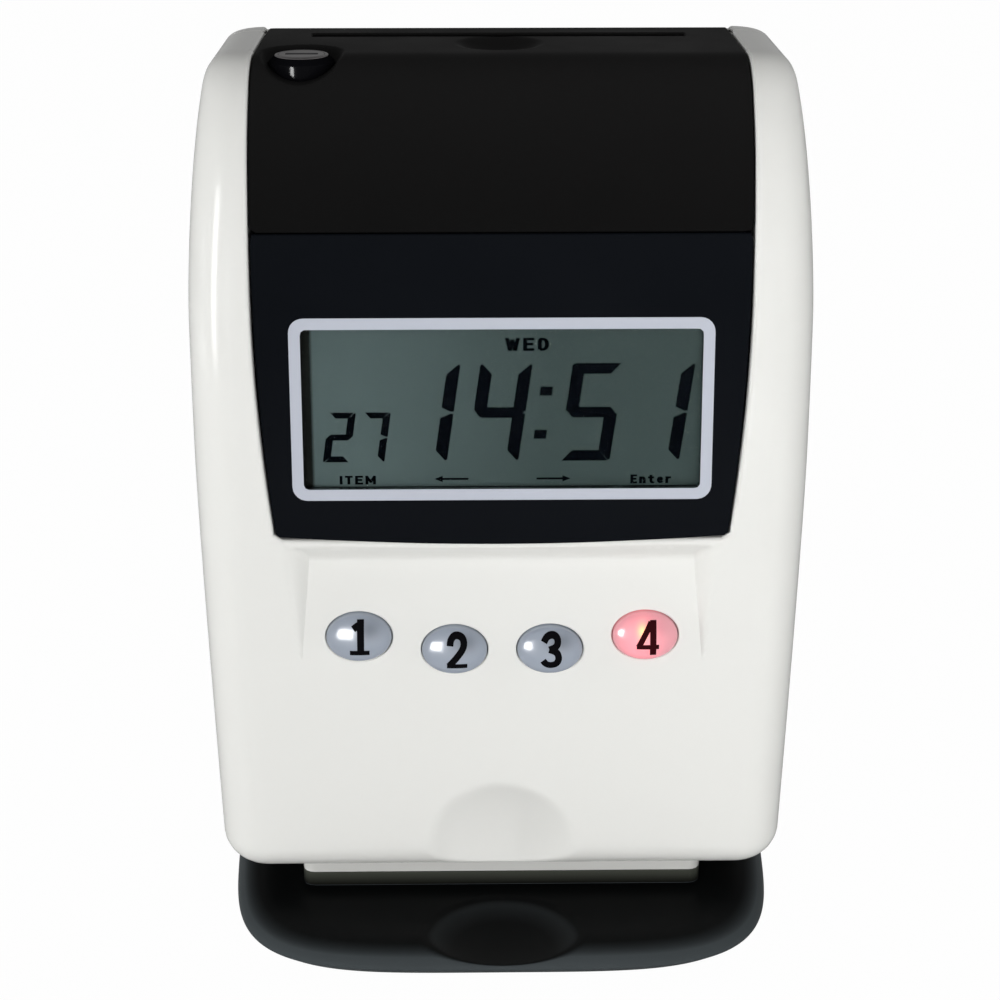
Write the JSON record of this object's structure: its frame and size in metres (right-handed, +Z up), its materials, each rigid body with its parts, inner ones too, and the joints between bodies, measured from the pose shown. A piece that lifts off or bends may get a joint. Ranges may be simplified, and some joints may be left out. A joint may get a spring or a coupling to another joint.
{
  "type": "time clock",
  "caption": "Desk time clock with a keyed hinged top cover and card slot, tilted display panel, domed press keys, card feed and print carriage inside a rounded white housing.",
  "frame": {"origin": "on the table, in the middle of the overall box", "axes": "+Z up, +Y from the front with the display towards the back, +X to the right as the user sees it"},
  "size_m": [0.1508, 0.13, 0.227],
  "materials": {
    "shell_white": "smooth warm white moulding",
    "cover_black": "polished black",
    "panel_black": "polished blue black with a pale printed frame",
    "tray_charcoal": "satin charcoal",
    "foot_rubber": "matte black",
    "screw_steel": "zinc plated",
    "lock_steel": "bright plated",
    "lens_clear": "clear",
    "lcd_grey": "grey green liquid crystal",
    "key_grey": "translucent blue grey",
    "key_red": "translucent, lit red from behind",
    "board_green": "green solder mask",
    "part_black": "moulded black",
    "lamp_red": "clear red resin",
    "frame_steel": "rolled zinc plated sheet",
    "guide_grey": "moulded grey",
    "shaft_steel": "ground bright",
    "roller_rubber": "ground rubber",
    "ribbon_ink": "inked nylon",
    "gear_white": "acetal",
    "bush_brass": "turned",
    "motor_grey": "plated can",
    "cell_blue": "shrink sleeve"
  },
  "bodies": {
    "housing": {"front_housing": "shell_white", "rear_cover": "shell_white", "floor_plate": "shell_white", "display_panel": "panel_black", "base_tray": "tray_charcoal", "rubber_feet": "foot_rubber", "base_screws": "screw_steel", "housing_screws": "screw_steel", "hinge_pins": "screw_steel", "lock_keeper": "screw_steel", "idler_pin": "screw_steel", "display_lens": "lens_clear", "lcd_glass": "lcd_grey", "main_board": "board_green", "display_board": "board_green", "key_board": "board_green", "key_switches": "part_black", "board_parts": "part_black", "buzzer": "part_black", "power_inlet": "part_black", "battery_cradle": "part_black", "ribbon_cartridge": "part_black", "key_lamps": "lamp_red", "side_frame_left": "frame_steel", "side_frame_right": "frame_steel", "platen_bar": "frame_steel", "carriage_rail": "frame_steel", "mech_deck": "frame_steel", "card_guide_front": "guide_grey", "card_guide_rear": "guide_grey", "guide_rod": "shaft_steel", "platen_pad": "roller_rubber", "carriage_belt": "roller_rubber", "ink_ribbon": "ribbon_ink", "lcd_holder": "gear_white", "feed_bushes": "bush_brass", "feed_motor": "motor_grey", "carriage_motor": "motor_grey", "battery_cells": "cell_blue"},
    "cover": {"top_cover": "cover_black", "lock_barrel": "cover_black", "lock_nut": "lock_steel"},
    "lock": {"lock_plug": "lock_steel", "lock_cam": "lock_steel"},
    "key_one": {"key_1": "key_grey"},
    "key_two": {"key_2": "key_grey"},
    "key_three": {"key_3": "key_grey"},
    "key_four": {"key_4": "key_red"},
    "ribbon_winder": {"ribbon_knob": "gear_white"},
    "print_carriage": {"carriage": "part_black", "print_head": "guide_grey"},
    "belt_drive": {"drive_pulley": "gear_white"},
    "belt_idler": {"idler_pulley": "gear_white"},
    "feed": {"feed_shaft": "shaft_steel", "feed_rollers": "roller_rubber", "feed_gear": "gear_white"},
    "feed_drive": {"feed_pinion": "bush_brass"},
    "pinch": {"pinch_shaft": "shaft_steel", "pinch_rollers": "roller_rubber"}
  },
  "joints": [
    {"name": "cover_hinge", "type": "hinge", "parent": "housing", "child": "cover", "pos_m": [0, 0.038, 0.2219], "axis": [-1, 0, 0], "range_deg": [0, 80]},
    {"name": "lock_turn", "type": "hinge", "parent": "cover", "child": "lock", "pos_m": [-0.0482, -0.002, 0.22], "axis": [0, 0, 1], "range_deg": [0, 90]},
    {"name": "key_1_press", "type": "slide", "parent": "housing", "child": "key_one", "axis": [0, 1, 0], "range_m": [0, 0.0012], "stiffness_N_per_m": 500},
    {"name": "key_2_press", "type": "slide", "parent": "housing", "child": "key_two", "axis": [0, 1, 0], "range_m": [0, 0.0012], "stiffness_N_per_m": 500},
    {"name": "key_3_press", "type": "slide", "parent": "housing", "child": "key_three", "axis": [0, 1, 0], "range_m": [0, 0.0012], "stiffness_N_per_m": 500},
    {"name": "key_4_press", "type": "slide", "parent": "housing", "child": "key_four", "axis": [0, 1, 0], "range_m": [0, 0.0012], "stiffness_N_per_m": 500},
    {"name": "ribbon_wind", "type": "hinge", "parent": "housing", "child": "ribbon_winder", "pos_m": [0.025, 0.007, 0.209], "axis": [0, 0, 1], "continuous": true},
    {"name": "carriage_slide", "type": "slide", "parent": "housing", "child": "print_carriage", "axis": [1, 0, 0], "range_m": [-0.026, 0.026]},
    {"name": "drive_pulley_spin", "type": "hinge", "parent": "housing", "child": "belt_drive", "pos_m": [0.041, -0.004, 0.171], "axis": [0, 0, 1], "continuous": true},
    {"name": "idler_pulley_spin", "type": "hinge", "parent": "housing", "child": "belt_idler", "pos_m": [-0.041, -0.004, 0.171], "axis": [0, 0, 1], "continuous": true},
    {"name": "feed_spin", "type": "hinge", "parent": "housing", "child": "feed", "pos_m": [0, 0.03475, 0.15], "axis": [1, 0, 0], "continuous": true},
    {"name": "pinion_spin", "type": "hinge", "parent": "housing", "child": "feed_drive", "pos_m": [0.057, 0.0418, 0.12958], "axis": [1, 0, 0], "continuous": true},
    {"name": "pinch_spin", "type": "hinge", "parent": "housing", "child": "pinch", "pos_m": [0, 0.02055, 0.15], "axis": [1, 0, 0], "continuous": true}
  ],
  "couplings": [
    {"joint": "drive_pulley_spin", "follows": "carriage_slide", "rad_per_m": -178.57},
    {"joint": "idler_pulley_spin", "follows": "carriage_slide", "rad_per_m": -178.57},
    {"joint": "pinion_spin", "follows": "feed_spin", "ratio": -2},
    {"joint": "pinch_spin", "follows": "feed_spin", "ratio": -1.2097}
  ]
}
